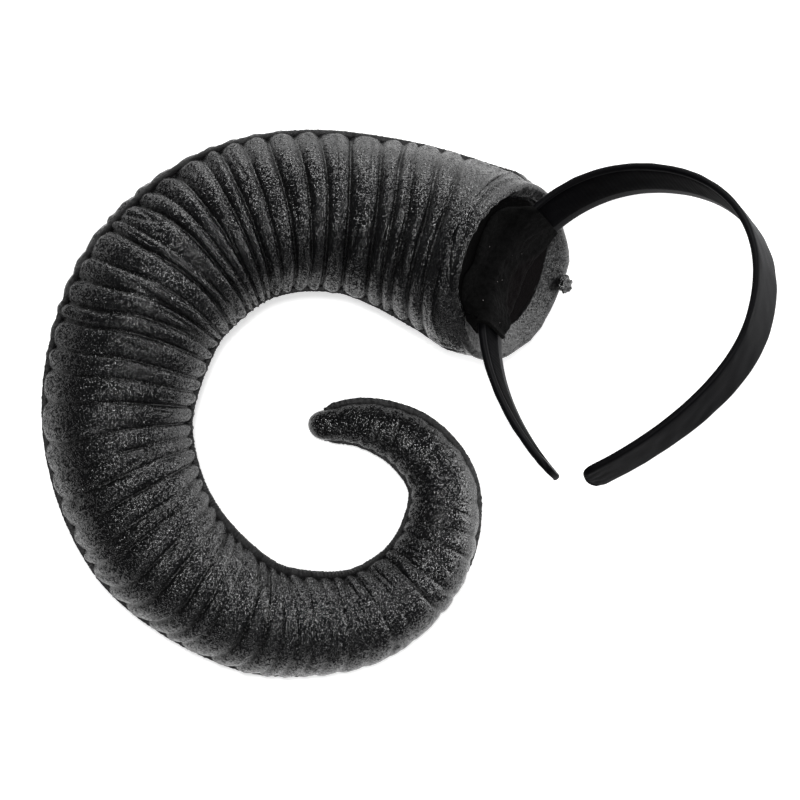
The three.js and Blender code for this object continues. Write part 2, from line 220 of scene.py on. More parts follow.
notch_reach = 4
crease_depth = 0.9      # short creases that cross the ribs at a slant
crease_line = 0.1
pinch_width = 1.3       # the leather is painted with shade, and dulled, to this many half widths of a fold's line
# How dark the painted shade is along the folds' lines and in the creases.
fold_shade = 1.1
crease_shade = 0.6

# How the folds lie and fade. Columns: distance from the rim (mm), how far a fold runs
# ahead of its middle (mm) at the outer seam, a quarter, three quarters and the inner seam,
# and how deep it is (share) at the outer seam, a quarter, the middle, three quarters and
# the inner seam.
fold_lay = [
    (27, 7, 4, -4, -6, 0.15, 0.55, 0.85, 0.8, 0.35),
    (50, 11, 6, -2.5, -3, 0.3, 0.65, 0.95, 0.9, 0.4),
    (75, 5, 2, -1, 0, 0.45, 0.85, 1, 0.9, 0.4),
    (100, 5, 2.5, 0, 4, 0.5, 0.85, 1, 0.8, 0.4),
    (120, 4, 2, -1, 2, 0.5, 0.8, 0.95, 0.7, 0.45),
    (145, 8, 4, -1.5, 3, 0.5, 0.75, 0.85, 0.65, 0.5),
    (180, 7, 4.5, 0, 4, 0.45, 0.6, 0.75, 0.6, 0.55),
    (205, 3, 2, -0.5, 0, 0.45, 0.4, 0.65, 0.55, 0.5),
    (235, 2, 1.5, -2, -3, 0.45, 0.25, 0.55, 0.5, 0.45),
    (260, 2, 2.5, -3.5, -7, 0.6, 0.2, 0.55, 0.5, 0.4),
    (285, -6, 0, -1.5, -4, 0.7, 0.5, 0.6, 0.45, 0.3),
    (325, -6, -0.5, -3, -10, 0.6, 0.55, 0.55, 0.4, 0.4),
    (360, -8, -4, -2, -5, 0.4, 0.4, 0.35, 0.25, 0.4),
    (400, 0, 0, 0, 0, 0.3, 0.3, 0.45, 0.4, 0.3),
    (440, 0, 0, 0, 0, 0.15, 0.25, 0.35, 0.25, 0.2),
    (490, 0, 0, 0, 0, 0.1, 0.15, 0.2, 0.15, 0.1),
]
lay_shares = [0, 0.25, 0.5, 0.75, 1]

# How the skin and the raw edges meet. Columns: distance from the rim, how much fuller
# the skin is beside the outer seam and how far the raw edge stands out there, and the same
# two for the inner seam (mm).
seam_rows = [
    (4, 0.4, 1.0, 0.3, 0.8),
    (40, 0.5, 0.9, 0.6, 0.7),
    (100, 0.7, 0.7, 0.4, 0.4),
    (170, 0.9, 0.6, 0.3, 0.4),
    (205, 0.9, 0.6, 0.5, 0.4),
    (240, 0.6, 0.7, 0.3, 0.5),
    (270, 0.1, 1.0, -1.0, 1.4),
    (300, 0.3, 0.8, -1.5, 2.4),
    (340, 0.8, 0.6, -0.6, 2.3),
    (380, 0.9, 0.8, 0.4, 1.4),
    (430, 0.4, 1.6, 1.3, 0.7),
    (470, -0.2, 2.2, 1.4, 0.6),
    (507, -0.4, 2.2, 0.8, 0.6),
]
full_reach = 10
seam_tuck = 1.2         # how far the stitching draws the skin in
tuck_reach = 1.7
plumpness = 0.6         # how far the ribs' crests stand out of the plain section
knuckle = 0.8           # how much further the ribs' ends stand out beside a seam
knuckle_middle = 3.4    # how far from the seam they do so
knuckle_reach = 2.4
seam_flat = 0.75        # share of a fold's depth that is lost where it is sewn
lump_height = 0.55      # how far the fibre filling bulges between the folds
crease_height = 0.1     # low creases along the folds, twice as high on the plain root
fine_height = 0.05
plain_root = (30, 60)   # the plain skin behind the rim ends between these distances

# The rim. The root's edge is turned in and glued down as a hem, under pleats.
rim_width = 5.6
rim_round = 2.4
pleat_height = 0.7
pleat_pitch = 1 / 16    # as a share of the root's half width
rim_slump = 6.2
rim_swell = 3.5
hem_drop = 1.1          # how much lower the hem lies at the felt than at the rim
rim_dip = 2.6           # how far the upper edge is pulled in
rim_dip_reach = 15
rim_tuck = 3.4          # and how much more it is pulled in where the arm leaves the horn
tuck_angle = math.radians(147)
tuck_half_angle = math.radians(26)
slump_angle = math.radians(-115)
rim_bunch = 5.2         # a bunch of leather beside the thread's knot
bunch_angle = math.radians(-72)
bunch_half_angle = math.radians(14)
bunch_reach = 12
seat_depth = 3.6

rim_rounding = 16       # rings over the rim
ring_step = 0.52
upper_columns = 56
lower_columns = 38
tip_stretch = 1.25      # how long the rounded end is, in half widths
tip_ring_count = 9
hem_blend = 9           # the stretched hem's smooth grain fades out over this distance


def spline(points, t):
    """A centripetal Catmull-Rom curve through points, at shares t of its spans."""
    points = np.asarray(points, dtype=float)
    padded = np.vstack([2 * points[0] - points[1], points, 2 * points[-1] - points[-2]])
    spans = t * (len(points) - 1)
    first = np.minimum(spans.astype(int), len(points) - 2)
    w = (spans - first)[:, None]
    p = [padded[first + k] for k in range(4)]
    gaps = [np.sqrt(np.linalg.norm(p[k + 1] - p[k], axis=1, keepdims=True)) for k in range(3)]
    gaps[1] = np.where(gaps[1] < 0.01, 1.0, gaps[1])
    gaps[0] = np.where(gaps[0] < 0.01, gaps[1], gaps[0])
    gaps[2] = np.where(gaps[2] < 0.01, gaps[1], gaps[2])

    def slope(a, b, c, before, after):
        return (b - a) / before - (c - a) / (before + after) + (c - b) / after

    start = slope(p[0], p[1], p[2], gaps[0], gaps[1]) * gaps[1]
    end = slope(p[1], p[2], p[3], gaps[1], gaps[2]) * gaps[1]
    bend = 3 * (p[2] - p[1]) - 2 * start - end
    twist = start + end - 2 * (p[2] - p[1])
    return p[1] + (start + (bend + twist * w) * w) * w


root_out = np.array([math.cos(root_heading) * math.cos(root_rise),
                     math.sin(root_heading) * math.cos(root_rise), math.sin(root_rise)])
root_side = np.array([-math.sin(root_heading), math.cos(root_heading), 0])
root_up = np.cross(root_out, root_side)
root_centre = np.array(root_place)

fine = np.linspace(0, 1, 6001)
floor_origin = root_centre * (1, 1, 0)
midline = spline(
    [root_centre, root_centre - root_out * root_stem / 2, root_centre - root_out * root_stem]
    + [floor_origin + (along * coil_reach, across * coil_reach,
                       width * depth * root_width / 2 - floor_sag)
       for along, across, width, depth, _, _ in horn_rows], fine)
shapes = [root_shape, root_shape, stem_shape] + [row[2:] for row in horn_rows]
sizes = spline([(width, depth) for width, depth, _, _ in shapes], fine)
rolls = spline([(outer, inner) for _, _, outer, inner in shapes], fine)
travelled = np.concatenate([[0], np.cumsum(np.linalg.norm(np.diff(midline, axis=0), axis=1))])
horn_length = travelled[-1]
headings = np.gradient(midline, axis=0)


def along_horn(values, distance):
    """Values sampled along the midline, at distances from the rim."""
    return np.stack([np.interp(distance, travelled, column) for column in values.T], axis=-1)


def unit(vectors):
    return vectors / np.linalg.norm(vectors, axis=-1, keepdims=True)


def smoothstep(x, low, high):
    t = np.clip((x - low) / (high - low), 0, 1)
    return t * t * (3 - 2 * t)


class Station:
    """Places, directions and half sizes of the horn's sections at distances from the rim."""

    def __init__(self, distance):
        distance = np.asarray(distance, dtype=float)
        ahead = unit(along_horn(headings, distance))
        past = np.maximum(distance - horn_length, 0)[..., None]
        self.centre = along_horn(midline, distance) + ahead * past
        self.side = unit(np.cross(ahead, (0, 0, 1)))
        self.up = np.cross(self.side, ahead)
        width, depth = np.moveaxis(along_horn(sizes, distance), -1, 0)
        outer, inner = np.moveaxis(np.radians(along_horn(rolls, distance)), -1, 0)
        self.share = width
        self.half_width = width * root_width / 2
        self.half_depth = self.half_width * depth
        self.outer_seam = outer
        self.inner_seam = math.pi - inner
        self.slump = rim_slump * (1 - smoothstep(distance, 0, smooth_root))

    def radius(self, angle):
        oval = 1 / np.hypot(np.cos(angle) / self.half_width, np.sin(angle) / self.half_depth)
        return oval + self.slump * settled(angle)

    def point(self, angle, radius, sideways=0.0):
        x = (radius * np.cos(angle) - sideways * np.sin(angle))[..., None]
        y = (radius * np.sin(angle) + sideways * np.cos(angle))[..., None]
        return self.centre + self.side * x + self.up * y


def settled(angle):
    """How much of the settled stuffing an angle of the section gets, from 0 to 1."""
    return ((1 + np.cos(angle - slump_angle)) / 2) ** 2


def far_side(angle):
    """1 along the rim's upper edge, where the leather is pulled in over the felt, else 0."""
    return smoothstep(np.sin(angle), -0.1, 0.75)


def around(angle, middle, half_angle):
    """1 at the middle angle of a section, falling to 0 over the half angle and beyond."""
    turn = (angle - middle + math.pi) % (2 * math.pi) - math.pi
    return np.exp(-(turn / half_angle) ** 2)


def bunched(angle):
    """How far the bunch beside the knot stands out at an angle of the section."""
    return rim_bunch * around(angle, bunch_angle, bunch_half_angle)


def on_table(points):
    """Presses what would sink into the table flat on it."""
    points[..., 2] = np.maximum(points[..., 2], 0.05)
    return points


def noise_at(*columns):
    """Smooth noise from about -1 to 1. The columns are places, each over the pattern's size in
    millimetres, and a number that sets this pattern apart from the others."""
    arrays = np.broadcast_arrays(*columns)
    places = zip(*(a.ravel().tolist() for a in arrays))
    return np.array([noise.noise(Vector(place)) for place in places]).reshape(arrays[0].shape) * 1.6


fold_at = smooth_root + np.concatenate([[0], np.cumsum([width for width, _ in ribs])])
fold_strength = np.array([depth for _, depth in ribs] + [0.3])
lay_table = np.array(fold_lay, dtype=float)
seam_table = np.array(seam_rows, dtype=float)


def lay_value(distance, share, columns):
    """A value of the fold table at a distance and a share of the way between the seams."""
    rows = np.stack([np.interp(distance[:, 0], lay_table[:, 0], lay_table[:, c]) if c else
                     np.zeros(len(distance)) for c in columns], axis=-1)
    weights = np.stack([spline(np.eye(len(lay_shares))[:, k:k + 1], share[0])[:, 0]
                        for k in range(len(lay_shares))])
    return rows @ weights


def folds(distance, share, seam_distance):
    """How far the skin lies below the ribs' crests, how near a crest it is (0 to 1), and how
    far it is pinched together, which also sets the shade painted into folds and creases (0 to 1)."""
    ahead = lay_value(distance, share, (1, 2, 0, 3, 4))
    deep = np.clip(lay_value(distance, share, (5, 6, 7, 8, 9)), 0, 1.3)
    wander = fold_wander * noise_at(distance / 23, share * 2.3, 4.1)
    place = distance - ahead - wander
    position = np.interp(place, fold_at, np.arange(len(fold_at)))
    fold = np.minimum(position.astype(int), len(ribs) - 1)
    width = np.diff(fold_at)[fold]
    into = place - fold_at[fold]
    sides = []
    for gap, part, strength in ((into, near_side, fold_strength[fold]),
                                (width - into, 1 - near_side, fold_strength[fold + 1])):
        reach = np.minimum(width * part, fold_reach)
        sides.append((strength, np.clip(np.abs(gap) / reach, 0, 1), np.abs(gap) / fold_line))
    sharp = np.sqrt(deep)
    below = sum(strength * (fold_valley * deep * (1 - near) ** 2
                            + (1 - fold_valley) * sharp * np.exp(-line))
                for strength, near, line in sides)
    crest = np.minimum(sides[0][1], sides[1][1])
    pinch_and_shade = sum(strength * np.exp(-(line / pinch_width) ** 2) for strength, _, line in sides)
    opened = 1 + notch * np.exp(-(seam_distance / notch_reach) ** 2)
    slant = noise_at(place / 7, share * 1.5, 12.0)
    some = smoothstep(noise_at(place / 11, share * 3, 17.0), -0.1, 0.5)
    crease = np.exp(-(slant / crease_line) ** 2) * some * (1 - np.exp(-(seam_distance / 5) ** 2))
    below = fold_depth * below * opened + crease_depth * crease
    # The third value marks the shade painted into the folds and creases.
    return below, crest, np.clip(fold_shade * pinch_and_shade * sharp + crease_shade * crease, 0, 1)


def horn_skin(distance, share, first_seam, last_seam, lower):
    """One panel between its two seams, at rings by columns: its points, their angles and radii
    in the section, and how far they are pinched and painted with shade."""
    station = Station(distance)
    angle = first_seam(station) + (last_seam(station) - first_seam(station)) * share
    radius = station.radius(angle)
    from_seam = np.minimum(share, 1 - share) * (last_seam(station) - first_seam(station)) * radius
    lie = 1 - share if lower else share
    below, crest, pinch_and_shade = folds(distance, lie, from_seam)
    scale = np.sqrt(station.share)
    start = smoothstep(distance, rim_round, root_stem)
    drawn = np.exp(-(from_seam / tuck_reach) ** 2)
    stuffing = noise_at(distance / 30, angle * station.half_width / 30, 9.0 + lower)
    creases = noise_at(distance / 2.6, angle * station.half_width / 17, 2.0 + lower)
    fine_creases = noise_at(distance / 1.3, angle * station.half_width / 6, 6.0 + lower)
    plain = 1 - smoothstep(distance, *plain_root)
    below = below * (under_folds if lower else 1)
    radius = radius + plumpness * start
    for from_share, column in ((lie, 1), (1 - lie, 3)):
        full = np.interp(distance, seam_table[:, 0], seam_table[:, column])
        arc = from_share * (last_seam(station) - first_seam(station)) * radius
        radius = radius + full * np.exp(-(arc / full_reach) ** 2) * start
    radius = radius + bunched(angle) * (1 - smoothstep(distance, 0, bunch_reach))
    pulled = rim_dip * far_side(angle) + rim_tuck * around(angle, tuck_angle, tuck_half_angle)
    radius = radius - pulled * (1 - smoothstep(distance, 0, rim_dip_reach)) ** 2
    radius = radius - below * scale * (1 - seam_flat * drawn) - seam_tuck * start * drawn * scale
    ends = np.exp(-((from_seam - knuckle_middle) / knuckle_reach) ** 2)
    radius = radius + knuckle * scale * start * crest * ends
    radius = radius + lump_height * stuffing * scale * (1 - drawn) * start
    radius = radius + crease_height * (1 + plain) * creases * (1 - drawn)
    radius = radius + fine_height * fine_creases
    points = station.point(angle, radius)
    out = rim_swell * (1 - smoothstep(distance, rim_round, root_stem)) * settled(angle)
    return points + root_out * out[..., None], angle, radius, pinch_and_shade * start


def panel_shares(count):
    """Shares from seam to seam, closer together beside the seams."""
    even = np.linspace(0, 1, count + 1)[:-1]
    return 0.45 * even + 0.55 * (1 - np.cos(math.pi * even)) / 2


def horn_rings(distance):
    """Rings of the whole skin: the upper panel from seam to seam, then the lower one."""
    distance = np.asarray(distance)[:, None]
    upper = horn_skin(distance, panel_shares(upper_columns)[None, :],
                      lambda s: s.outer_seam, lambda s: s.inner_seam, False)
    lower = horn_skin(distance, panel_shares(lower_columns)[None, :],
                      lambda s: s.inner_seam, lambda s: s.outer_seam + 2 * math.pi, True)
    return [np.concatenate(pair, axis=1) for pair in zip(upper, lower)]


def rim_rings(angle, radius):
    """Rings of the turned-in edge, from the felt's bed over the rim to the skin behind it."""
    rings = []
    pleats = noise_at(np.cos(angle) / pleat_pitch, np.sin(angle) / pleat_pitch, 3.0)
    profile = [(seat_depth, rim_width + 4), (seat_depth, rim_width + 1.5), (seat_depth, rim_width)]
    profile += [(hem_drop + (seat_depth - hem_drop) * (1 - t), rim_width) for t in (0.4, 0.8)]
    for t in np.linspace(0, 1, rim_rounding):
        turn = math.pi / 2 * (1 - t)
        inset = rim_width * math.sin(turn) ** 1.3
        slope = hem_drop * smoothstep(inset, rim_round, rim_width)
        from_round = 1 - min(inset / rim_round, 1)
        profile.append((rim_round * (1 - math.sqrt(1 - from_round ** 2)) + slope, inset))
    steep = far_side(angle)
    for depth, inset in profile:
        sunk = (seat_depth - 0.2 - hem_drop) * smoothstep(inset, rim_round * 0.5, rim_round * 1.3)
        depth = depth + steep * sunk * (depth < seat_depth)
        depth = np.minimum(depth, seat_depth)
        gather = pleats * pleat_height * math.sin(math.pi * min(inset / rim_width, 1)) ** 0.5
        swell = rim_swell * settled(angle) * (1 - smoothstep(inset, rim_round, rim_width + 0.5))
        slumped = rim_slump * settled(angle) * smoothstep(inset, rim_round, rim_width)
        reach = radius - slumped - inset * (1 + bunched(angle) / rim_width)
        place = root_centre + root_side * (reach * np.cos(angle))[:, None]
        place = place + root_up * (reach * np.sin(angle))[:, None]
        rings.append(place + root_out * (swell + gather - depth)[:, None])
    return rings


def tip_rings(last_ring, last_centre, ahead, half_width):
    """Rings that round the horn's end."""
    rings = []
    for turn in np.radians(np.linspace(12, 86, tip_ring_count)):
        on = ahead * math.sin(turn) * half_width * tip_stretch
        rings.append(last_centre + on + (last_ring - last_centre) * math.cos(turn))
    return rings


def ring_faces(rings, count):
    """Quads between rings of as many points each, and a fan at both ends."""
    faces = []
    for ring in range(rings - 1):
        a = ring * count
        for i in range(count):
            j = (i + 1) % count
            faces.append((a + i, a + j, a + count + j, a + count + i))
    first, last = rings * count, rings * count + 1
    end = (rings - 1) * count
    faces += [(first, (i + 1) % count, i) for i in range(count)]
    faces += [(last, end + i, end + (i + 1) % count) for i in range(count)]
    return faces


def outward(points, faces):
    """The faces, turned so that they look out of the closed body."""
    corners = np.array([face[:3] for face in faces])
    a, b, c = (np.asarray(points)[corners[:, k]] for k in range(3))
    fourth = np.array([face[3] if len(face) > 3 else face[2] for face in faces])
    d = np.asarray(points)[fourth]
    volume = np.sum(a * np.cross(b, c)) + np.sum(a * np.cross(c, d))
    return faces if volume > 0 else [tuple(reversed(face)) for face in faces]


def lofted(name, bodies, material, uvs=None, marks=None):
    """One mesh of closed bodies. Each is lofted through its rings, and both ends are capped
    from the middle. uvs and each mark, by its name, have an array for each body."""
    points, faces = [], []
    for rings in bodies:
        rings = [np.asarray(ring) for ring in rings]
        body = np.vstack(rings + [rings[0].mean(axis=0)[None], rings[-1].mean(axis=0)[None]])
        start = sum(len(part) for part in points)
        faces += [tuple(start + corner for corner in face)
                  for face in outward(body, ring_faces(len(rings), len(rings[0])))]
        points.append(body)
    uv = uvs and np.vstack([np.vstack([*part, part[0][:1], part[-1][:1]]) for part in uvs])
    values = {mark: np.concatenate([np.append(part, (part[0][0], part[-1][0])) for part in parts])
              for mark, parts in (marks or {}).items()}
    return mesh_object(name, np.vstack(points), faces, material, uv, values)


def imitation_leather():
    """Polyurethane coated cloth, embossed with a pebbled grain: satin black, each pebble
    leaning its own way, so that some glint and their neighbours stay dark."""
    pebble = 0.62       # mm across, as on the real cloth
    lean = 0.64
    made, shader = new_material("black_polyurethane_leather", {
        "IOR": 1.5, "Specular IOR Level": 0.5})
    place = add(made, "ShaderNodeTexCoord").outputs["Object"]
    bent = add(made, "ShaderNodeTexNoise",
               {"Vector": place, "Scale": 1 / (2.5 * pebble * MM), "Detail": 2.0})
    shifted = add(made, "ShaderNodeVectorMath",
                  {0: bent.outputs["Color"], 1: (0.4 * pebble * MM,) * 3}, operation="MULTIPLY")
    moved = add(made, "ShaderNodeVectorMath", {0: place, 1: shifted.outputs["Vector"]})
    cells = add(made, "ShaderNodeTexVoronoi",
                {"Vector": moved.outputs["Vector"], "Scale": 1 / (pebble * MM)})
    patches = add(made, "ShaderNodeTexNoise", {"Vector": place, "Scale": 1 / (14 * MM),
                                               "Detail": 3.0})
    leaning = add(made, "ShaderNodeVectorMath",
                  {0: cells.outputs["Color"], 1: (lean,) * 3, 2: (-lean / 2,) * 3},
                  operation="MULTIPLY_ADD")
    stretch = add(made, "ShaderNodeAttribute", attribute_name="stretch").outputs["Fac"]
    pinch_and_shade = add(made, "ShaderNodeAttribute", attribute_name="pinch_and_shade").outputs["Fac"]
    grain = add(made, "ShaderNodeMapRange", {"Value": pinch_and_shade, "To Min": 1.0, "To Max": 0.45})
    leaning = add(made, "ShaderNodeVectorMath",
                  {0: leaning.outputs["Vector"], "Scale": grain.outputs["Result"]}, operation="SCALE")
    facing = add(made, "ShaderNodeNewGeometry").outputs["Normal"]
    tilted = add(made, "ShaderNodeVectorMath", {0: facing, 1: leaning.outputs["Vector"]})
    facet = add(made, "ShaderNodeVectorMath", {0: tilted.outputs["Vector"]}, operation="NORMALIZE")
    bump = add(made, "ShaderNodeBump",
               {"Height": cells.outputs["Distance"], "Strength": 1.0, "Distance": -0.15 * MM,
                "Normal": facet.outputs["Vector"]})
    feed(made, shader, "Normal", bump.outputs["Normal"])
    tone = add(made, "ShaderNodeValToRGB", {"Fac": patches.outputs["Fac"]},
               [(0, "#0a0a0b"), (1, "#141415")])
    # Painted shade: where the fold and rim mark rises, the colour is mixed towards black, as the shade
    # in folds, creases, on the hem and on the felt's bed.
    shaded_tone = add(made, "ShaderNodeMix", {0: pinch_and_shade, 6: tone.outputs["Color"], 7: linear("#020202")},
                 data_type="RGBA")
    feed(made, shader, "Base Color", shaded_tone.outputs[2])
    gloss = add(made, "ShaderNodeMapRange",
                {"Value": cells.outputs["Color"], "To Min": 0.13, "To Max": 0.26})
    dulled = add(made, "ShaderNodeMath", {0: pinch_and_shade, 1: 0.12, 2: gloss.outputs["Result"]},
                 operation="MULTIPLY_ADD")
    matt = add(made, "ShaderNodeMath", {0: stretch, 1: 0.22, 2: dulled.outputs["Value"]},
               operation="MULTIPLY_ADD")
    feed(made, shader, "Roughness", matt.outputs["Value"])
    return made


leather = imitation_leather()
ring_distances = np.arange(rim_round + ring_step, horn_length, ring_step)
skin_rings, skin_angles, skin_radii, skin_pinch_and_shade = horn_rings(ring_distances)
end = Station(np.array([horn_length]))
horn_loft = rim_rings(skin_angles[0], skin_radii[0]) + list(skin_rings)
horn_loft += tip_rings(skin_rings[-1], end.centre[0], unit(along_horn(headings, horn_length)),
                       end.half_width[0])
columns = len(skin_pinch_and_shade[0])
rim_count = len(horn_loft) - len(skin_pinch_and_shade) - tip_ring_count
horn_pinch_and_shade = np.zeros((len(horn_loft), columns))
# Painted shade on the rim: the hem is dulled and darkened a little all round, and painted black along
# its upper side and on the felt's bed, where the rim shades them.
horn_pinch_and_shade[:rim_count] = np.maximum(0.3, far_side(skin_angles[0]))
horn_pinch_and_shade[:3] = 1
horn_pinch_and_shade[rim_count - 6:rim_count] = 0
horn_pinch_and_shade[rim_count:rim_count + len(skin_pinch_and_shade)] = skin_pinch_and_shade
horn_stretch = np.zeros((len(horn_loft), columns))
horn_stretch[:rim_count] = 1
horn_stretch[rim_count:-tip_ring_count] = 1 - smoothstep(ring_distances, 0, hem_blend)[:, None]
horn_stretch *= 1 - far_side(skin_angles[0])
horn = lofted("stuffed_horn", [[on_table(ring) for ring in horn_loft]], leather,
              marks={"pinch_and_shade": [horn_pinch_and_shade], "stretch": [horn_stretch]})
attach(horn, "root")
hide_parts("horn_body")

# The seams. Both panels' edges were left raw and stand out of the stitching as a ragged
# double fin, thin along most of the coil and wider at the tip and at its lower inside.
fin_foot = 4
fin_layer = 0.6
fin_gap = 0.15
fin_step = 0.5
fin_fray = 0.22
fin_sunk = 0.6          # how deep its foot stands in the skin
fin_follow = 0.2        # share of a fold's depth that it follows
fin_sway = 0.45         # how far it leans from side to side
stitch_sway = 0.25
stitch_pitch = 2.2


def raw_leather_edge():
    """Cut edges of coated cloth: black coating on the faces, and short broken threads of the
    backing along the cut, so it shines less than the skin and looks rougher."""
    thread = 0.5
    made, shader = new_material("raw_cut_leather", {
        "Roughness": 0.5, "Specular IOR Level": 0.5})
    place = add(made, "ShaderNodeTexCoord").outputs["Object"]
    threads = add(made, "ShaderNodeTexNoise", {"Vector": place, "Scale": 1 / (thread * MM),
                                               "Detail": 4.0, "Roughness": 0.7})
    tone = add(made, "ShaderNodeValToRGB", {"Fac": threads.outputs["Fac"]},
               [(0.45, "#0b0b0c"), (0.75, "#2b2a2b")])
    feed(made, shader, "Base Color", tone.outputs["Color"])
    bump = add(made, "ShaderNodeBump", {"Height": threads.outputs["Fac"], "Strength": 0.8,
                                        "Distance": 0.3 * MM})
    feed(made, shader, "Normal", bump.outputs["Normal"])
    return made


def seam_fin(column, seam_of, seed):
    """The two layers of raw edge along one seam, as lofts."""
    distances = np.arange(fin_foot, horn_length + 0.5, fin_step)
    station = Station(distances)
    angle = seam_of(station)
    full, reach = (np.interp(distances, seam_table[:, 0], seam_table[:, column + k]) for k in (0, 1))
    at_seam = np.zeros((1, 1)) if column == 1 else np.ones((1, 1))
    below = folds(distances[:, None], at_seam, np.zeros((len(distances), 1)))[0][:, 0]
    scale = np.sqrt(station.share)
    start = smoothstep(distances, rim_round, root_stem)
    drawn_in = (seam_tuck * start + fin_follow * below) * scale
    foot = station.radius(angle) + (plumpness + full) * start - drawn_in - fin_sunk
    flute = fin_sway * noise_at(distances / 4.5, seed, 0.0)
    flute += stitch_sway * np.cos(2 * math.pi * distances / stitch_pitch)
    ends = smoothstep(distances, fin_foot, 12)
    ends *= 1 - 0.6 * smoothstep(distances, horn_length - 4, horn_length)
    lofts, uvs = [], []
    for layer, side in enumerate((-1, 1)):
        fray = fin_fray * noise_at(distances / 0.9, seed + layer * 5.0, 1.0)
        fray += 0.5 * fin_fray * noise_at(distances / 4, seed + layer * 5.0, 7.0)
        height = (fin_sunk + drawn_in + reach + fray) * (0.3 + 0.7 * ends)
        middle = side * (fin_gap + fin_layer) / 2
        rings = []
        for up, thick in ((0, 1), (0.5, 1), (0.9, 0.9), (1, 0.3)):
            for edge in (-1, 1):
                bend = flute * up ** 1.5 + side * 0.25 * up
                sideways = middle + edge * fin_layer / 2 * thick + bend
                rings.append(station.point(angle, foot + height * up, sideways))
        order = [0, 2, 4, 6, 7, 5, 3, 1]    # up one face and down the other
        lofts.append(on_table(np.stack([rings[k] for k in order], axis=1)))
        uvs.append(np.stack([np.stack([distances, height * (k // 2) / 3], axis=-1)
                             for k in order], axis=1))
    return lofts, uvs


cut_edge = raw_leather_edge()
for name, column, seam_of in (("outer_seam", 1, lambda s: s.outer_seam),
                              ("inner_seam", 3, lambda s: s.inner_seam)):
    fin_lofts, fin_uvs = seam_fin(column, seam_of, column * 11.0)
    fin = lofted(name + "_raw_edges", fin_lofts, cut_edge, fin_uvs)
    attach(fin, "root")
    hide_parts(name)

# The felt disc. It was cut by hand with short straight snips and glued on its bed inside
# the rim, so its edge is a many-sided outline with a narrow gap round it.
felt_thickness = 2
felt_play = 1.3         # between the disc and the hem
clearance = 0.35        # between pieces that lie on each other, the glue's thickness
snips = [0.99, 1.03, 1.08, 1.1, 1.1, 1.08, 1.03, 1.0, 1.03, 1.04, 1.02, 1.04, 1.03, 1.0]
disc_bottom = clearance - seat_depth
disc_top = disc_bottom + felt_thickness
bed_share = 1 - 2 * rim_width / root_width


def pressed_felt():
    """Pressed felt of black polyester: no gloss, a nap of short curled fibres that catches
    light at a low angle, browner where it is worn, and painted black as shadow where the rim
    shades the disc."""
    tuft = 1.6
    fibre = 0.7         # real fibres are 0.02 mm thick, and show as curls of this size
    dust_gap = 5.5
    made, shader = new_material("pressed_black_felt", {
        "Roughness": 0.95, "Specular IOR Level": 0.05, "Sheen Weight": 0.03,
        "Sheen Roughness": 0.5, "Sheen Tint": linear("#5a5658")})
    place = add(made, "ShaderNodeTexCoord").outputs["Object"]
    tufts = add(made, "ShaderNodeTexNoise", {"Vector": place, "Scale": 1 / (tuft * MM),
                                             "Detail": 5.0, "Roughness": 0.65})
    fibres = add(made, "ShaderNodeTexVoronoi", {"Vector": place, "Scale": 1 / (fibre * MM)},
                 feature="DISTANCE_TO_EDGE")
    tones = []
    for deep, pale in (("#040404", "#121212"), ("#030202", "#090607")):
        tone = add(made, "ShaderNodeValToRGB", {"Fac": tufts.outputs["Fac"]},
                   [(0.3, deep), (0.8, pale)])
        tones.append(tone.outputs["Color"])
    worn = add(made, "ShaderNodeAttribute", attribute_name="worn").outputs["Fac"]
    browned = add(made, "ShaderNodeMix", {0: worn, 6: tones[0], 7: tones[1]}, data_type="RGBA")
    specks = add(made, "ShaderNodeTexVoronoi", {"Vector": place, "Scale": 1 / (dust_gap * MM)})
    near = add(made, "ShaderNodeMath", {0: specks.outputs["Distance"], 1: 0.04},
               operation="LESS_THAN")
    dust = add(made, "ShaderNodeMix", {0: near.outputs["Value"], 6: browned.outputs[2],
                                       7: linear("#8d8988")}, data_type="RGBA")
    # Painted shadow: black where the rim's shadow falls on the disc's upper side.
    rim_shadow = add(made, "ShaderNodeAttribute", attribute_name="rim_shadow").outputs["Fac"]
    dark = add(made, "ShaderNodeMix", {0: rim_shadow, 6: dust.outputs[2], 7: linear("#010101")},
               data_type="RGBA")
    feed(made, shader, "Base Color", dark.outputs[2])
    height = add(made, "ShaderNodeMath", {0: tufts.outputs["Fac"], 1: 1.2,
                                          2: fibres.outputs["Distance"]},
                 operation="MULTIPLY_ADD")
    bump = add(made, "ShaderNodeBump", {"Height": height.outputs["Value"], "Strength": 0.8,
                                        "Distance": 0.4 * MM})
    feed(made, shader, "Normal", bump.outputs["Normal"])
    return made


def root_point(x, y, height):
    """Points of the root's face: x towards the outer seam, y up the face, height out of it."""
    x, y, height = (np.asarray(value, dtype=float)[..., None] for value in (x, y, height))
    return root_centre + root_side * x + root_up * y + root_out * height


disc_angles = np.linspace(0, 2 * math.pi, 112, endpoint=False)
snip_angles = np.arange(len(snips) + 1) * 2 * math.pi / len(snips)
bed_station = Station(np.zeros(1))
bed_station.slump = 0


def bed_radius(angle):
    return bed_station.radius(angle) * bed_share


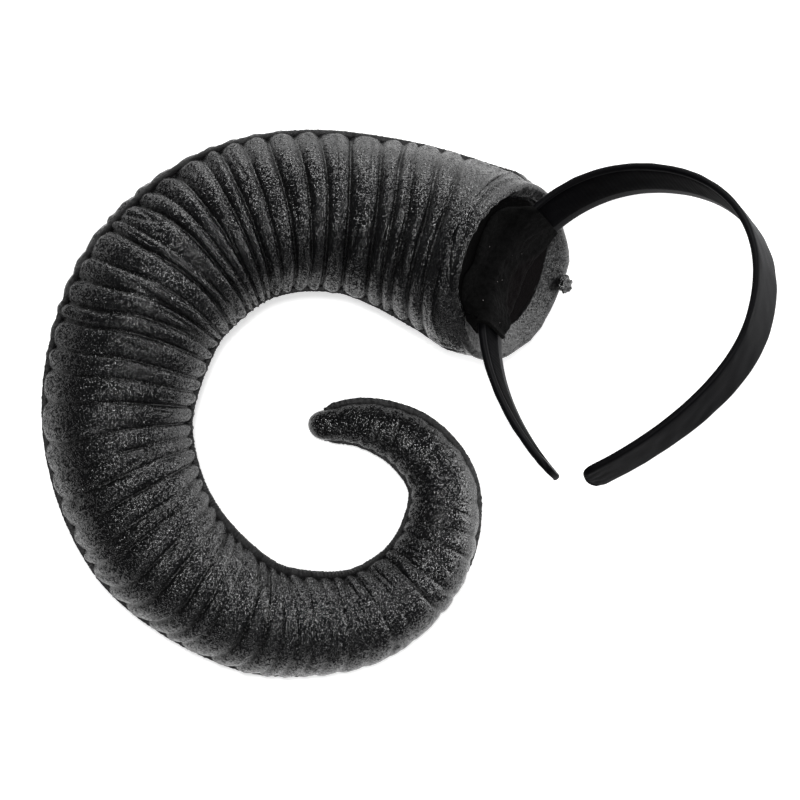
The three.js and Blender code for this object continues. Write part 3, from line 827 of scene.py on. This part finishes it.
corner_radius = (bed_radius(snip_angles) - felt_play) * np.array(snips + snips[:1])
disc_edge_x = np.interp(disc_angles, snip_angles, corner_radius * np.cos(snip_angles))
disc_edge_y = np.interp(disc_angles, snip_angles, corner_radius * np.sin(snip_angles))
disc_profile = [(t, 0.0) for t in (0.15, 0.4, 0.7, 0.95)] + [(0.995, 0.2), (1, 0.5), (0.99, 0.85)]
disc_profile += [(t, 1.0) for t in (0.96, 0.92, 0.85, 0.75, 0.65, 0.55, 0.45, 0.35, 0.25, 0.15, 0.07)]
disc_rings, disc_rim_shadow = [], []
for share, height in disc_profile:
    x, y = disc_edge_x * share, disc_edge_y * share
    waves = 0.35 * noise_at(x / 9, y / 9, 1.5) * height
    frayed = 1 + 0.008 * noise_at(x / 1.2, y / 1.2, height) * (share > 0.9)
    disc_rings.append(root_point(x * frayed, y * frayed, disc_bottom + felt_thickness * height + waves))
    # Painted shadow: the outer part of the disc's upper half is marked to be painted black, as the
    # rim's shadow.
    disc_rim_shadow.append(smoothstep(np.sin(disc_angles), -0.3, 0.3) * smoothstep(share, 0.4, 0.65))
felt = pressed_felt()
disc = lofted("felt_disc", [disc_rings], felt,
              marks={"rim_shadow": [disc_rim_shadow], "worn": [np.ones_like(disc_rim_shadow)]})
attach(disc, "root")
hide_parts("base_disc")

# The headband. A springy plastic hoop, wrapped in black satin that is glued on its inside
# and gathered round the rounded tips. It is just under 3 mm thick over the satin.
band_span = 123
crown_rise = 61.4
crown_fullness = 2.12
leg_drop = 75.7
leg_fullness = 0.38
tip_gap = 16
tip_lean = math.radians(56.8)
tip_pull = 0.4
band_thickness = 2.8
band_edge_round = 1.3
crown_width = 23
tip_width = 15
taper_length = 160
seat_angle = math.radians(12)
band_twist = math.radians(13.2)


def bezier(points, t):
    a, b, c, d = (np.asarray(p, dtype=float) for p in points)
    t = t[:, None]
    return a * (1 - t) ** 3 + 3 * b * t * (1 - t) ** 2 + 3 * c * t * t * (1 - t) + d * t ** 3


def leg_points(sign):
    """Control points of one arm, from its tip to the widest line."""
    tip = np.array([sign * tip_gap / 2, -leg_drop])
    pull = np.array([sign * math.sin(tip_lean), math.cos(tip_lean)]) * tip_pull * leg_drop
    return [tip, tip + pull, (sign * band_span / 2, -leg_fullness * leg_drop),
            (sign * band_span / 2, 0)]


curve_share = np.linspace(0, 1, 1500)
crown_angle = math.pi * (1 - curve_share)
power = 2 / crown_fullness
crown = np.stack([np.sign(np.cos(crown_angle)) * np.abs(np.cos(crown_angle)) ** power * band_span / 2,
                  np.clip(np.sin(crown_angle), 0, 1) ** power * crown_rise], axis=-1)
left_leg = bezier(leg_points(-1), curve_share)
right_leg = bezier(leg_points(1), curve_share)[::-1]
arch = np.vstack([left_leg, crown[1:], right_leg[1:]])
arch_travelled = np.concatenate([[0], np.cumsum(np.linalg.norm(np.diff(arch, axis=0), axis=1))])
arch_length = arch_travelled[-1]
leg_length = np.sum(np.linalg.norm(np.diff(left_leg, axis=0), axis=1))
seat_distance = leg_length + seat_angle * band_span / 2
arm_along = root_side * math.cos(band_twist) - root_up * math.sin(band_twist)
band_u = root_out * math.cos(seat_angle) + arm_along * math.sin(seat_angle)
band_v = arm_along * math.cos(seat_angle) - root_out * math.sin(seat_angle)
band_w = np.cross(band_u, band_v)


def on_arch(distance):
    """Place in the hoop's plane at distances from the tip of the arm with the horn."""
    return np.stack([np.interp(distance, arch_travelled, arch[:, k]) for k in (0, 1)], axis=-1)


seat = on_arch(seat_distance)
band_centre = root_point(0, 0, disc_top + clearance) - band_u * seat[0] - band_v * seat[1]


def band_half_width(distance):
    from_tip = np.minimum(distance, arch_length - distance)
    return (tip_width + (crown_width - tip_width) * smoothstep(from_tip, 0, taper_length)) / 2


def band_point(distance, across, depth):
    """Points of the headband: across from its middle line, depth from its outer face."""
    distance, across, depth = np.broadcast_arrays(distance, across, depth)
    place = on_arch(distance)
    ahead = unit(on_arch(distance + 0.6) - on_arch(distance - 0.6))
    inward = band_u * ahead[..., 1:] - band_v * ahead[..., :1]
    middle = band_centre + band_u * place[..., :1] + band_v * place[..., 1:]
    return middle + band_w * across[..., None] + inward * depth[..., None]


def black_satin():
    """Polyester satin: long floats along the band give a soft sheen and almost black
    shadows, with fine threads across where it is stretched over the edges."""
    thread = 0.35       # real threads are 0.1 mm, drawn coarser so that they show
    made, shader = new_material("black_satin", {
        "Roughness": 0.5, "Specular IOR Level": 0.07, "Sheen Weight": 0.02,
        "Sheen Roughness": 0.35, "Sheen Tint": linear("#8c8ca0")})
    uv = add(made, "ShaderNodeUVMap", uv_map="along_across").outputs["UV"]
    stretched = add(made, "ShaderNodeMapping", {"Vector": uv, "Scale": (1 / (5 * thread * MM),
                                                                       1 / (thread * MM), 1)})
    threads = add(made, "ShaderNodeTexNoise", {"Vector": stretched.outputs["Vector"], "Scale": 1.0,
                                               "Detail": 3.0})
    place = add(made, "ShaderNodeTexCoord").outputs["Object"]
    clouds = add(made, "ShaderNodeTexNoise", {"Vector": place, "Scale": 1 / (12 * MM)})
    tone = add(made, "ShaderNodeValToRGB", {"Fac": clouds.outputs["Fac"]},
               [(0, "#030304"), (1, "#07070a")])
    feed(made, shader, "Base Color", tone.outputs["Color"])
    bump = add(made, "ShaderNodeBump", {"Height": threads.outputs["Fac"], "Strength": 0.5,
                                        "Distance": 0.12 * MM})
    feed(made, shader, "Normal", bump.outputs["Normal"])
    return made


def rounded_section(half_width, thickness, edge, face_points=11, edge_points=6):
    """A flat section with rounded edges, as across and depth from its outer face."""
    across = np.linspace(-1, 1, face_points)
    turns = np.linspace(0, math.pi, edge_points + 2)[1:-1]
    half = thickness / 2
    inner = half_width - edge
    section = [(a * inner, 0.0) for a in across]
    section += [(inner + edge * math.sin(t), half - half * math.cos(t)) for t in turns]
    section += [(a * inner, thickness) for a in across[::-1]]
    section += [(-inner - edge * math.sin(t), half + half * math.cos(t)) for t in turns]
    return np.array(section)


gather_depth = 0.22     # the satin's gathers at the tips
gather_reach = 9
tip_round = tip_width / 2
tip_blunt = 2.8         # 2 is a half circle
band_ring_count = 420
tip_steps = 1 - np.cos(np.radians(np.linspace(2, 84, 12)))
tip_shares = (1 - (1 - tip_steps) ** tip_blunt) ** (1 / tip_blunt)
band_stops = np.concatenate([tip_round * tip_steps,
                             np.linspace(tip_round, arch_length - tip_round, band_ring_count),
                             arch_length - tip_round * tip_steps[::-1]])
band_shares = np.concatenate([tip_shares, np.ones(band_ring_count), tip_shares[::-1]])
band_rings, band_uv = [], []
for distance, share in zip(band_stops, band_shares):
    half = band_half_width(distance) * share
    soft = min(band_edge_round, half / 2)
    slim = 0.55 + 0.45 * share
    section = rounded_section(half, band_thickness * slim, soft)
    across, depth = section[:, 0], section[:, 1] + band_thickness * (1 - slim) / 2
    from_tip = min(distance, arch_length - distance)
    gathers = gather_depth * math.exp(-(from_tip / gather_reach) ** 2)
    gathers = gathers * np.sin(across * 3.4 + 0.6 * np.sin(distance))
    drag = 0.2 + 0.13 * noise_at(distance / 7 + across / 9, across / 5, 3.0)
    outer = np.where(depth < band_thickness / 2, 1.0, -0.2)
    band_rings.append(band_point(np.full_like(across, distance), across * (1 + 0.01 * drag),
                                 depth - outer * (gathers + drag)))
    band_uv.append(np.stack([np.full_like(across, distance), across + 40 * (outer < 0)], axis=-1))
band = lofted("satin_headband", [band_rings], black_satin(), [band_uv])
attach(band, "root")
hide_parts("headband")

# The ribbon. A grosgrain ribbon with firm selvedges is glued along the inside of the
# hoop, nearer its upper edge, and hides where the satin's edges meet.
ribbon_weave = 0.3      # its thickness
ribbon_round = 0.14
ribbon_glue = 0.1
selvedge_height = 0.06
pucker_height = 0.12
ribbon_near_margin = 1.5
ribbon_far_margin = 4.6
ribbon_end = 9


def grosgrain():
    """Woven nylon ribbon: fine ribs across it and a dull, slightly blue black."""
    rib = 1.0           # real ribs are 0.5 mm, drawn coarser so that they show
    made, shader = new_material("blue_black_grosgrain", {
        "Roughness": 0.75, "Specular IOR Level": 0.02})
    uv = add(made, "ShaderNodeUVMap", uv_map="along_across").outputs["UV"]
    # A wave of scale 1 has a rib every pi / 10, and each rib here takes half of that.
    ribs_across = add(made, "ShaderNodeTexWave", {
        "Vector": uv, "Scale": math.pi / (20 * rib * MM), "Distortion": 0.6, "Detail": 2.0})
    place = add(made, "ShaderNodeTexCoord").outputs["Object"]
    clouds = add(made, "ShaderNodeTexNoise", {"Vector": place, "Scale": 1 / (9 * MM)})
    tone = add(made, "ShaderNodeValToRGB", {"Fac": clouds.outputs["Fac"]},
               [(0, "#020203"), (1, "#040406")])
    feed(made, shader, "Base Color", tone.outputs["Color"])
    bump = add(made, "ShaderNodeBump", {"Height": ribs_across.outputs["Fac"], "Strength": 0.3,
                                        "Distance": 0.15 * MM})
    feed(made, shader, "Normal", bump.outputs["Normal"])
    return made


ribbon_rings, ribbon_uv = [], []
ribbon_inner = band_thickness + ribbon_glue
for distance in np.linspace(ribbon_end, arch_length - ribbon_end, 400):
    half = band_half_width(distance)
    top, bottom = half - ribbon_near_margin, ribbon_far_margin - half
    wander = 0.15 * noise.noise(Vector((distance / 18, 2, 5)))
    ribbon_half = (top - bottom) / 2
    section = rounded_section(ribbon_half, ribbon_weave, ribbon_round, 13, 4)
    across = section[:, 0] + (top + bottom) / 2 + wander
    from_edge = ribbon_half - np.abs(section[:, 0])
    selvedge = selvedge_height * np.exp(-((from_edge - 0.5) / 0.45) ** 2)
    lift = np.where(section[:, 1] > ribbon_weave / 2, 1.0, 0.0)
    puckers = pucker_height * noise_at(distance / 5, across / 6, 8.0)
    pressed = 1 - np.abs(section[:, 0] / ribbon_half) ** 6
    raised = (section[:, 1] + lift * (selvedge + puckers)) * pressed
    ribbon_rings.append(band_point(np.full_like(across, distance), across, ribbon_inner + raised))
    ribbon_uv.append(np.stack([np.full_like(across, distance), across], axis=-1))
ribbon = lofted("grosgrain_ribbon", [ribbon_rings], grosgrain(), [ribbon_uv])
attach(ribbon, "root")
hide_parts("band_lining")

# The felt over the arm. A hand-cut patch of felt was soaked with glue and pressed over
# the band and down on the disc at both sides, with a second, smaller tongue lapped over
# its lower end, where the arm leaves the horn.
patch_thickness = 1.4
ribbon_room = 1         # the felt lies this far off the satin, over the ribbon and its glue
upper_slope = 3.4       # the felt slopes down to the disc above the band
lower_slope = 1.0       # and is pressed tightly round the band's lower edge
patch_below = 28        # how far it reaches along the band from the horn's middle
patch_above = 27
tongue_below = 31
tongue_above = 12.5
bed_reach = 29.2        # from the disc's middle to where felt may lie on it
patch_ring_count = 90
tongue_ring_count = 44
felt_bump = 0.4
felt_ridge = 0.5        # the felt is raised where the worn nap begins

# From the lower end to the upper one: how far the felt reaches above and below the band
# (mm from the band's edge), and how far those sides come down to the disc (1 is all the
# way). Over the upper half it stops on the band, and the satin's lower edge shows.
patch_rows = [
    (3, -3.5, 0.9, 0), (6.5, -2, 1, 0), (10.5, -0.8, 1, 0.4), (12, 0, 1, 1), (10.6, 0.2, 1, 1),
    (11.2, -0.2, 1, 0.7), (13.2, -0.6, 1, 0.4), (14.4, -1.0, 1, 0.2), (15, -1.4, 1, 0),
    (15, -1.6, 1, 0), (13.6, -1.4, 0.9, 0), (11, -1.2, 0.7, 0), (5.5, -1.6, 0.45, 0),
    (1, -2.4, 0.3, 0),
]
# Where the nap turns brown, as a share of the way across the band from its upper edge, at
# shares of the patch from its lower end to its upper end.
worn_from = [(0, 1), (0.16, 0.8), (0.27, 0.58), (0.42, 0.4), (0.56, 0.5), (0.85, 0.95), (1, 1)]
# The same for the tongue: how far it wraps down the band's upper side (1 is all the way),
# and how far it reaches on the band's face below its middle line, as a share of the half.
tongue_rows = [
    (1.0, 0.7), (1.0, 0.76), (1.0, 0.82), (0.95, 0.84), (0.9, 0.6), (0.8, 0.2), (0.6, -0.3),
    (0.4, -0.8),
]


def over_band(distance, reaches, base):
    """Where felt lies over the band and down on the disc, from its upper to its lower side."""
    upper, lower, upper_down, lower_down = reaches
    edge = float(band_half_width(distance)) + clearance
    inner = band_thickness + ribbon_room + base
    bed = math.sqrt(max(bed_reach ** 2 - (distance - seat_distance) ** 2, 0)) - edge
    upper = min(upper, max(bed, 0.6))

    def by_band(across):
        return band_point(np.array(distance), np.array(across), np.array(inner))

    def on_disc(across, down):
        point = band_point(np.array(distance), np.array(across), np.array(0.0))
        above = np.dot(point - root_centre, root_out)
        resting = point + root_out * (disc_top + clearance + base - above)
        return by_band(across) + (resting - by_band(across)) * down

    return [on_disc(edge + upper, upper_down), on_disc(edge + min(upper, upper_slope), upper_down),
            by_band(edge), by_band(edge - 2), by_band(2 - edge - min(lower, 0)),
            by_band(-edge - min(lower, 0)), on_disc(-edge - min(lower, lower_slope), lower_down),
            on_disc(-edge - lower - 0.05, lower_down)]


def on_band(distance, reaches, base):
    """Where felt lies on the band's inner face and down its upper side."""
    wrapped, lower = reaches
    half = float(band_half_width(distance))
    inner = band_thickness + ribbon_room + base
    side = half + clearance + 0.5
    line = [(side, inner - 0.8 - wrapped * (inner - 1.2)), (side, inner - 0.8), (half - 0.6, inner)]
    line += [(across, inner) for across in np.linspace(half - 2, -lower * half, 5)]
    return [band_point(np.array(distance), np.array(across), np.array(depth))
            for across, depth in line]


def draped(distance, bends, seed, samples=72):
    """One closed section of felt along a line of bends, and how worn it is all round."""
    bends = np.array(bends)
    walked = np.concatenate([[0], np.cumsum(np.linalg.norm(np.diff(bends, axis=0), axis=1))])
    even = np.linspace(0, walked[-1], samples)
    line = np.stack([np.interp(even, walked, bends[:, k]) for k in range(3)], axis=-1)
    for _ in range(3):
        line[1:-1] = (line[:-2] + 2 * line[1:-1] + line[2:]) / 4
    origin, ahead, inside = (band_point(np.array(distance + step), np.array(0.0), np.array(depth))
                             for step, depth in ((0, 0.0), (1, 0.0), (0, 1.0)))
    normal = unit(np.cross(np.gradient(line, axis=0), unit(ahead - origin)))
    if np.dot(normal[samples // 2], inside - origin) < 0:
        normal = -normal
    place = even - walked[-1] / 2
    bumps = felt_bump * noise_at(distance / 5, place / 6, seed)
    bumps += felt_bump / 2 * noise_at(distance / 1.7, place / 2, seed)
    along = (distance - seat_distance + patch_below) / (patch_below + patch_above)
    crossing = 0.5 - (line - origin) @ band_w / (2 * float(band_half_width(distance)))
    browned = crossing - np.interp(along, *np.transpose(worn_from))
    bumps += felt_ridge * np.exp(-(browned / 0.09) ** 2)
    thin = 1 - 0.75 * np.abs(np.linspace(-1, 1, samples)) ** 30
    top = line + normal * (patch_thickness * thin + bumps)[:, None]
    worn = smoothstep(browned, -0.1, 0.15)
    return np.vstack([line, top[::-1]]), np.append(worn, worn[::-1])


def felt_rings(start, end, rows, lay, base, count, seed):
    """Sections of one piece of felt from its lower end to its upper end, and their wear."""
    rings = []
    for index, distance in enumerate(np.linspace(start, end, count)):
        share = index / (count - 1)
        reaches = np.array([np.interp(share * (len(rows) - 1), range(len(rows)), column)
                            for column in np.transpose(rows)])
        reaches[0] *= 1 + 0.04 * noise.noise(Vector((distance / 2.2, seed, 1)))
        from_patch = distance - seat_distance + patch_below
        height = base * smoothstep(from_patch, -2, 3)
        rings.append(draped(distance, lay(distance, reaches, height), seed))
    return [np.array(part) for part in zip(*rings)]


patch_rings, patch_worn = felt_rings(
    seat_distance - patch_below, seat_distance + patch_above, patch_rows,
    over_band, 0.0, patch_ring_count, 1.0)
tongue_rings, tongue_worn = felt_rings(
    seat_distance - tongue_below, seat_distance - tongue_above, tongue_rows,
    on_band, patch_thickness + 0.1, tongue_ring_count, 6.0)
patch = lofted("felt_patch", [patch_rings, tongue_rings], felt,
               marks={"worn": [patch_worn, np.zeros_like(tongue_worn)]})
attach(patch, "root")
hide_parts("band_patch")

# The knot. The rim's gathering thread ends in a lump of bunched leather and thread.
knot_size = 7.6
knot_angle = math.radians(-84.5)
knot_height = 0.55      # share of its width
knot_lumps = 0.3
knot_over_rim = 1.2
knot_sunk = 0.8


def knot_lump():
    """A ball of bunched leather, as rings from its foot to its top."""
    rings = []
    for turn in np.linspace(0.12, math.pi - 0.12, 40):
        spin = np.linspace(0, 2 * math.pi, 72, endpoint=False)
        x = math.sin(turn) * np.cos(spin)
        y = math.sin(turn) * np.sin(spin)
        z = np.full_like(x, -math.cos(turn))
        lumps = knot_lumps * noise_at(x * 1.6, y * 1.6, z * 1.6 + 5)
        lumps += knot_lumps / 3 * noise_at(x * 5, y * 5, z * 5)
        folds_round = 0.07 * np.abs(np.sin(spin * 3.5 + 3 * z)) * math.sin(turn)
        size = knot_size / 2 * (1 + lumps - folds_round)
        rings.append((x * size, y * size, z * size * knot_height))
    return rings


knot_station = Station(np.zeros(1))
knot_radius = float(knot_station.radius(knot_angle)[0]) - rim_round + knot_over_rim
knot_middle = rim_swell * settled(knot_angle) + clearance + 1.1 * knot_height * knot_size / 2
knot_rings = [root_point(knot_radius * math.cos(knot_angle) + x,
                         knot_radius * math.sin(knot_angle) + y,
                         knot_middle - knot_sunk + z) for x, y, z in knot_lump()]
knot = lofted("gathered_knot", [knot_rings], leather)
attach(knot, "root")
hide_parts("rim_knot")
